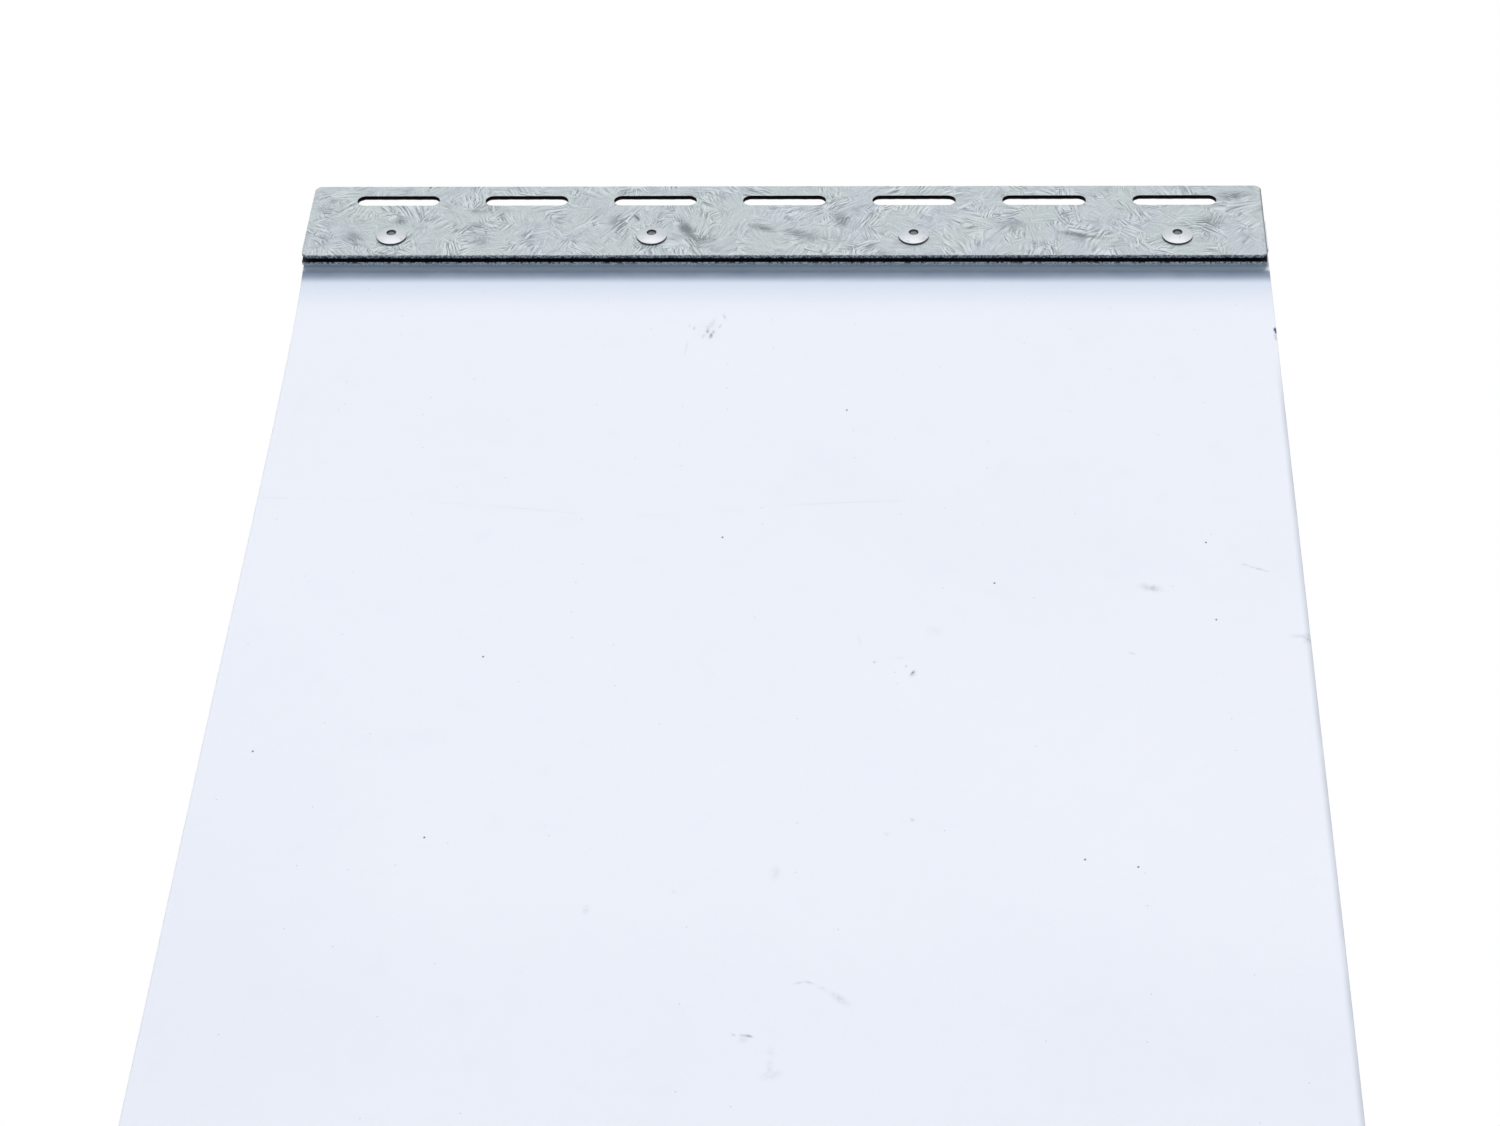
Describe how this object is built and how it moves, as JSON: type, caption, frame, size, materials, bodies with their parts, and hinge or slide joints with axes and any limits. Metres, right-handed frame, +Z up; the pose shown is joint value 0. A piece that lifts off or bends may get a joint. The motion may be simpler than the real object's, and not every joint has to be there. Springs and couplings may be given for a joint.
{
  "type": "mud flap",
  "caption": "Flat white mud flap whose folded top end is riveted to a slotted galvanised hanger plate; it hangs behind a wheel and swings where the sheet leaves the plate.",
  "frame": {"origin": "middle of the row of hanging slots, on the front face of the hanger plate", "axes": "+X across the flap to the right as seen from the front, -Y out of the front face where the rivet heads are, +Z up"},
  "size_m": [0.4007, 0.0192, 0.6],
  "materials": {
    "zinc_plate": "hot-dip galvanised, spangled",
    "white_sheet": "smooth matte white sheet",
    "rivet_aluminium": "plain satin",
    "stem_steel": "bare drawn steel, broken end",
    "washer_zinc": "zinc plated"
  },
  "bodies": {
    "hanger": {"hanger_plate": "zinc_plate", "hem_bar": "zinc_plate", "flap_hem": "white_sheet", "rivet_1": "rivet_aluminium", "rivet_2": "rivet_aluminium", "rivet_3": "rivet_aluminium", "rivet_4": "rivet_aluminium", "stem_1": "stem_steel", "stem_2": "stem_steel", "stem_3": "stem_steel", "stem_4": "stem_steel", "backing_washer_1": "washer_zinc", "backing_washer_2": "washer_zinc", "backing_washer_3": "washer_zinc", "backing_washer_4": "washer_zinc"},
    "flap": {"flap_sheet": "white_sheet"}
  },
  "joints": [
    {"name": "flap_swing", "type": "hinge", "parent": "hanger", "child": "flap", "pos_m": [0.0017, 0.006, -0.0418], "axis": [1, 0, 0], "range_deg": [-85, 85], "stiffness_Nm_per_rad": 0.09}
  ]
}
